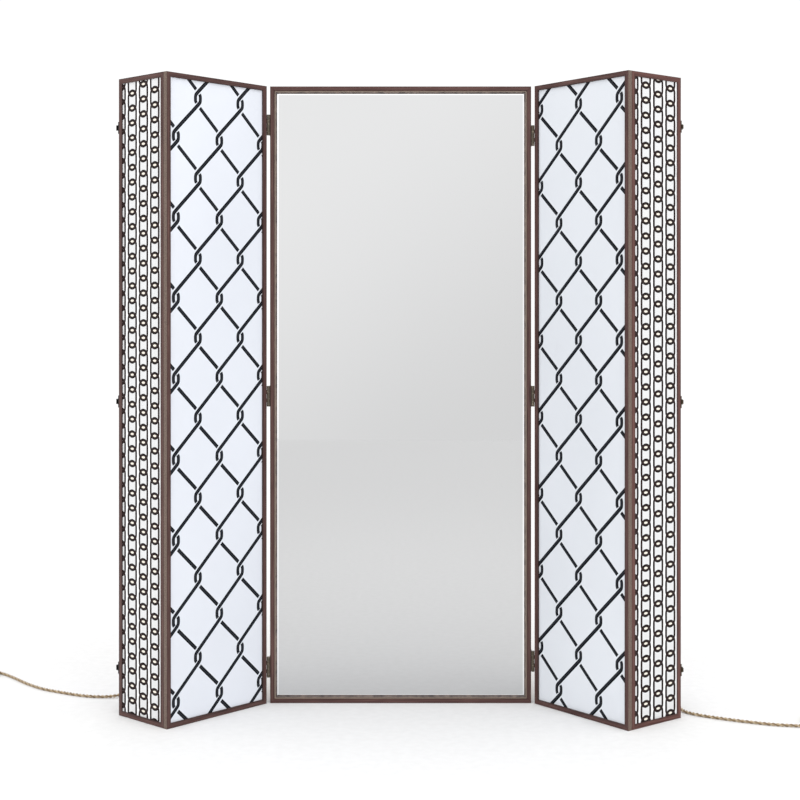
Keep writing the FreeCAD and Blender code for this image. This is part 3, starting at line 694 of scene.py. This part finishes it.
# The two strands: their own radius, how far they lie from the cord's line, and one whole twist.
STRAND = 0.00242
STRAND_OUT = 0.00215
TWIST = 0.024
ROUTES = {
    "left": (
        (-0.6991, 0.01405, 0.07), (-0.721, 0.034, 0.07), (-0.746, 0.052, 0.058),
        (-0.774, 0.061, 0.036), (-0.804, 0.058, 0.015), (-0.836, 0.047, 0.0065),
        (-0.868, 0.041, FLOOR), (-0.903, 0.042, FLOOR), (-0.948, 0.055, FLOOR),
        (-1.010, 0.090, FLOOR), (-1.080, 0.132, FLOOR), (-1.145, 0.198, FLOOR),
        (-1.207, 0.278, FLOOR), (-1.250, 0.326, FLOOR),
    ),
    "right": (
        (0.7005, -0.0073, 0.07), (0.7224, 0.0102, 0.07), (0.748, 0.0156, 0.066),
        (0.7735, 0.009, 0.055), (0.793, -0.009, 0.041), (0.8025, -0.035, 0.026),
        (0.8005, -0.066, 0.0135), (0.799, -0.098, 0.0065), (0.813, -0.134, FLOOR),
        (0.852, -0.167, FLOOR), (0.903, -0.199, FLOOR), (0.962, -0.229, FLOOR),
        (1.030, -0.259, FLOOR), (1.096, -0.271, FLOOR), (1.136, -0.2745, FLOOR),
    ),
}
# Where each coil lies, and the angles, in degrees, at which the cord enters and leaves it.
COILS = {
    "left": {"centre": Vector((-1.320, 0.310)), "enters": 60.0, "plug": 208.0},
    "right": {"centre": Vector((1.176, -0.216)), "enters": -95.0, "plug": 50.0},
}


# Where a plug's sleeve begins: its distance from the coil's middle, and its height.
SLEEVE_OUT = 0.057
SLEEVE_HIGH = 0.011


def eased(sweep, start, end):
    """From 0 at start to 1 at end, slow at both."""
    share = min(1.0, max(0.0, (sweep - start) / (end - start)))
    return share * share * (3 - 2 * share)


def coil_points(centre, enters, leaves):
    """Anticlockwise turns: two beside each other, then two on top, then out to the plug."""
    outer, inner = 0.0546, 0.0454
    end = 3 * 360 + (leaves - enters) % 360
    steps = round(end / 22.5)
    points = []
    for k in range(steps):
        sweep = end * k / steps
        if sweep > end - 20:
            break
        radius = outer - (outer - inner) * (eased(sweep, 300, 345) - eased(sweep, 930, 975))
        height = FLOOR + CORD * eased(sweep, 615, 662)
        angle = math.radians(enters + sweep)
        points.append((
            centre.x + radius * math.cos(angle), centre.y + radius * math.sin(angle), height
        ))
    return points


def plug_frame(word):
    """Where the cord enters the plug's sleeve, and the way it points."""
    coil = COILS[word]
    angle = math.radians(coil["plug"])
    spot = coil["centre"] + Vector((math.cos(angle), math.sin(angle))) * SLEEVE_OUT
    heading = angle + math.pi / 4
    return Vector((*spot, SLEEVE_HIGH)), Vector((math.cos(heading), math.sin(heading), 0))


def cord_line(word):
    """The whole route as one smooth curve, read back as points at even steps."""
    coil = COILS[word]
    entry, heading = plug_frame(word)
    points = list(ROUTES[word])
    points += coil_points(coil["centre"], coil["enters"], coil["plug"])
    before, inside = 0.008, 0.010
    points += [tuple(entry - heading * before), tuple(entry + heading * inside)]
    curve = bpy.data.curves.new(f"{word}_route", "CURVE")
    curve.dimensions = "3D"
    spline = curve.splines.new("NURBS")
    spline.points.add(len(points) - 1)
    for spot, point in zip(spline.points, points):
        spot.co = (*point, 1)
    spline.order_u = 3
    spline.use_endpoint_u = True
    spline.resolution_u = 12
    carrier = bpy.data.objects.new(f"{word}_route", curve)
    read = bpy.data.meshes.new_from_object(carrier)
    line = [vert.co.copy() for vert in read.vertices]
    bpy.data.objects.remove(carrier)
    bpy.data.curves.remove(curve)
    bpy.data.meshes.remove(read)
    return line


def strand(bm, uv, line, phase, first_v):
    """One of the cord's two strands, twisted round its line."""
    around = 10
    side = Vector((0, 0, 1))
    rings, run = [], 0.0
    for i, point in enumerate(line):
        way = (line[min(i + 1, len(line) - 1)] - line[max(i - 1, 0)]).normalized()
        side = (side - way * side.dot(way)).normalized()
        cross = way.cross(side)
        if i:
            run += (point - line[i - 1]).length
        angle = phase + 2 * math.pi * run / TWIST
        middle = point + (side * math.cos(angle) + cross * math.sin(angle)) * STRAND_OUT
        ring = []
        for k in range(around):
            turn = 2 * math.pi * k / around
            out = side * math.cos(turn) + cross * math.sin(turn)
            ring.append(bm.verts.new(middle + out * STRAND))
        rings.append((ring, run))
    for (a, start), (b, end) in zip(rings, rings[1:]):
        for k in range(around):
            n = (k + 1) % around
            face = bm.faces.new((a[k], a[n], b[n], b[k]))
            u0, u1 = start * THREADS, end * THREADS
            v0, v1 = (first_v + step / around * ROUND_V for step in (k, k + 1))
            for loop, spot in zip(face.loops, ((u0, v0), (u0, v1), (u1, v1), (u1, v0))):
                loop[uv].uv = spot
    bm.faces.new(rings[0][0][::-1])
    bm.faces.new(rings[-1][0])


def cord(word, cloth):
    """The twisted cord, from its strain relief to its plug."""
    line = spaced(cord_line(word), 0.0028)
    bm = bmesh.new()
    uv = bm.loops.layers.uv.new("UVMap")
    for phase, first_v in ((0.0, 0), (math.pi, SECOND_V)):
        strand(bm, uv, line, phase, first_v)
    mesh = bpy.data.meshes.new(f"{word}_twisted_cord")
    bm.to_mesh(mesh)
    bm.free()
    made = new_object(
        f"{word}_twisted_cord", mesh, f"{word}_wing", cloth, slot="cord_cloth"
    )
    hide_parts(f"{word}_cord", f"{word}_cord_coil")


# --------------------------------------------------------------------- mirror


def bevelled_glass(silver, painted_highlight, edge):
    """The looking glass: a flat front with a narrow bevel round it, painted brighter as a
    highlight.
    """
    low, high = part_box("mirror_glass")
    rim, drop = 0.0098, 0.0009
    bm = bmesh.new()
    rows = []
    for inset, y in ((0.0, high.y), (0.0, low.y + drop), (rim, low.y)):
        rows.append([
            bm.verts.new((x, y, z)) for x, z in (
                (low.x + inset, low.z + inset), (high.x - inset, low.z + inset),
                (high.x - inset, high.z - inset), (low.x + inset, high.z - inset),
            )
        ])
    # The glass's sides and back take the edge material, its bevel the painted highlight.
    for index, (a, b) in zip((2, 1), zip(rows, rows[1:])):
        for k in range(4):
            n = (k + 1) % 4
            face = bm.faces.new((a[k], a[n], b[n], b[k]))
            face.material_index = index
    bm.faces.new(rows[2])
    back = bm.faces.new(rows[0][::-1])
    back.material_index = 2
    bmesh.ops.recalc_face_normals(bm, faces=bm.faces[:])
    mesh = bpy.data.meshes.new("bevelled_mirror_glass")
    bm.to_mesh(mesh)
    bm.free()
    made = new_object(
        "bevelled_mirror_glass", mesh, "mirror_panel", silver, painted_highlight, edge,
        smooth=False, slot="mirror_glass",
    )
    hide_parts("mirror_glass")


# ---------------------------------------------------------------------- build

steel = metal_material("dark_steel", srgb(34, 29, 28), srgb(66, 57, 51), 0.5)
brown_steel = metal_material("brown_steel", srgb(66, 54, 40), srgb(120, 100, 70))
hinge_steel = metal_material("hinge_steel", srgb(86, 78, 66), srgb(146, 136, 118), 0.38)
black = plain_material(
    "black_plastic", srgb(34, 32, 31), 0.48, 700, 0.00006, Specular_IOR_Level=0.4
)
enamel = plain_material("white_enamel", srgb(222, 222, 216), 0.35, 200, 0.00004, Coat_Weight=0.3)
moulded = plain_material("white_plastic", srgb(226, 225, 219), 0.32, 400, 0.00003)
hardboard = board_material("hardboard")
# Painted light: the left sheet is brighter and glows more than the right, as more light falls on
# it.
opal = {
    "left": opal_material("opal_left", (0.675, 0.70, 0.755), 0.185),
    "right": opal_material("opal_right", (0.655, 0.68, 0.72), 0.16),
}
end_opal = opal_material("opal_end", (0.83, 0.835, 0.84), 0.2)
wire_ink = ink_material("wire_ink", srgb(10, 11, 15), srgb(58, 62, 72), 0.1)
link_ink = ink_material("link_ink", srgb(18, 10, 11), srgb(72, 54, 52), 0.09)
cream = plain_material("cream_print", srgb(244, 236, 222), 0.5, 300, 0.00002)
pale = plain_material("pale_print", srgb(226, 227, 228), 0.5, 300, 0.00002)
silver = mirror_material("silvered_glass", (0.625, 0.627, 0.63))
# Painted highlight: the bevel's silvering is nearly white, much brighter than the flat front's.
bevel_highlight = mirror_material("bevel_glass_highlight", srgb(253, 253, 253))
glass_edge = plain_material("glass_edge", srgb(120, 150, 142), 0.2, 200, 0.00002)
cloth = cloth_cord_material("cord_cloth")
lamp = lamp_material("lamp_tube")

upright_wood = stained_wood("wood_upright", "z")
level_wood = stained_wood("wood_level", "x")
side_wood = stained_wood("wood_side", "z", edge_shaded=False)
paint(upright_wood, "mirror_stile_left", "mirror_stile_right")
paint(level_wood, "mirror_rail_top", "mirror_rail_bottom")
paint(bead_material("bead_wood"), "mirror_bead")
paint(hardboard, "mirror_backing")
paint(steel, "backing_points", "mirror_corner_brackets", "mirror_corner_screws")
paint(hinge_steel, "hinge_pins", "hinge_screws_mirror")
paint(steel, "left_bolt_keepers", "left_keeper_screws")
paint(brown_steel, "right_bolt_bases", "right_bolt_screws")
paint(brown_steel, "bolt_bottom", "bolt_middle", "bolt_top")
for word, wing in WINGS.items():
    paint(hinge_steel, f"{word}_hinge_leaves_mirror", f"{word}_hinge_leaves_wing")
    paint(hinge_steel, f"{word}_hinge_screws_wing")
    paint(steel, f"{word}_rear_screws")
    for kind in ("front", "end", "rear"):
        split = (wing["pin"], wing["side"], kind)
        # The right wing's end frame is painted lighter, for the light that falls more on it, and
        # redder.
        tone = (1.32, 1.12, 1.06) if (word, kind) == ("right", "end") else (1.0, 1.0, 1.0)
        wood = stained_wood(f"wood_{word}_{kind}", "z", wing["angle"], split, tone)
        paint(wood, f"{word}_{kind}_frame")
        paint(end_opal if kind == "end" else opal[word], f"{word}_{kind}_panel")
    paint(side_wood, f"{word}_side_board")
    boards = (wing["pin"], wing["side"], "rear")
    board_wood = stained_wood(f"wood_{word}_boards", "z", wing["angle"], boards)
    paint(board_wood, f"{word}_top_board", f"{word}_bottom_board")
    paint(enamel, f"{word}_lamp_batten")
    paint(moulded, f"{word}_lamp_holders")
    paint(lamp, f"{word}_lamp_tube")
    paint(black, f"{word}_strain_relief", f"{word}_plug")
    fence(word, wire_ink)
    chain(word, link_ink, cream, pale)
    cord(word, cloth)
bevelled_glass(silver, bevel_highlight, glass_edge)
soften(0.0008, "mirror_stile_left", "mirror_stile_right", "mirror_rail_top", "mirror_rail_bottom")
soften(0.0005, "mirror_bead", "right_bolt_bases", "left_bolt_keepers")
soften(0.0006, "bolt_bottom", "bolt_middle", "bolt_top")
for word in WINGS:
    soften(0.0005, *[f"{word}_{kind}_frame" for kind in ("front", "end", "rear")])
    soften(0.0006, f"{word}_side_board", f"{word}_top_board", f"{word}_bottom_board")


# ---------------------------------------------------------------------- stage


def stage():
    """A plain pale floor, soft light from in front and above, and the camera."""
    bm = bmesh.new()
    bmesh.ops.create_grid(bm, x_segments=4, y_segments=4, size=9)
    mesh = bpy.data.meshes.new("studio_floor")
    bm.to_mesh(mesh)
    bm.free()
    floor_paint = plain_material("floor_paint", (0.86, 0.86, 0.86), 0.9, 40, 0.0)
    floor = new_object("studio_floor", mesh, None, floor_paint)

    world = bpy.data.worlds.new("studio")
    scene.world = world
    world.use_nodes = True
    nodes, links = world.node_tree.nodes, world.node_tree.links
    sky = nodes["Background"]
    sky.inputs["Strength"].default_value = 1.05
    # The room in front of the mirror is a little brighter, more so higher up and to the left.
    way = nodes.new("ShaderNodeTexCoord").outputs["Generated"]
    lean = nodes.new("ShaderNodeVectorMath")
    lean.operation = "DOT_PRODUCT"
    lean.inputs[1].default_value = (-0.65, 0, 0.95)
    links.new(way, lean.inputs[0])
    front = nodes.new("ShaderNodeSeparateXYZ")
    links.new(way, front.inputs[0])
    factors = []
    for wire, low, high, floor_value, top_value in (
        (lean.outputs["Value"], -0.14, 0.15, 0.0, 0.24),
        (front.outputs["Y"], -0.8, -0.93, 0.0, 1.0),
    ):
        fade = nodes.new("ShaderNodeMapRange")
        fade.interpolation_type = "SMOOTHSTEP"
        for socket, value in zip(fade.inputs[1:5], (low, high, floor_value, top_value)):
            socket.default_value = value
        links.new(wire, fade.inputs["Value"])
        factors.append(fade.outputs[0])
    glow = nodes.new("ShaderNodeMath")
    glow.operation = "MULTIPLY_ADD"
    glow.inputs[2].default_value = 1.0
    links.new(factors[0], glow.inputs[0])
    links.new(factors[1], glow.inputs[1])
    links.new(glow.outputs[0], sky.inputs["Color"])

    for name, spot, aim, size, power in (
        ("key", (1.1, -2.0, 3.5), (0, 0, 0.7), 2.0, 9),
        ("fill", (-1.6, -2.2, 2.6), (0, 0, 0.7), 2.4, 5),
    ):
        data = bpy.data.lights.new(name, "AREA")
        data.energy = power
        data.size = size
        light = bpy.data.objects.new(name, data)
        light.location = spot
        light.rotation_euler = (Vector(aim) - Vector(spot)).to_track_quat("-Z", "Y").to_euler()
        scene.collection.objects.link(light)
        light.visible_glossy = False
    data = bpy.data.lights.new("sky_light", "SUN")
    data.energy = 0.55
    data.angle = 1.2
    sun = bpy.data.objects.new("sky_light", data)
    sun.rotation_euler = (math.radians(18), math.radians(8), 0)
    scene.collection.objects.link(sun)

    data = bpy.data.cameras.new("camera")
    data.lens = 66.94
    data.sensor_width = 36
    data.shift_y = -0.1076
    camera = bpy.data.objects.new("camera", data)
    camera.location = (-0.0018, -4.3565, 1.136)
    camera.rotation_euler = (math.radians(90), 0, 0)
    scene.collection.objects.link(camera)
    scene.camera = camera


stage()
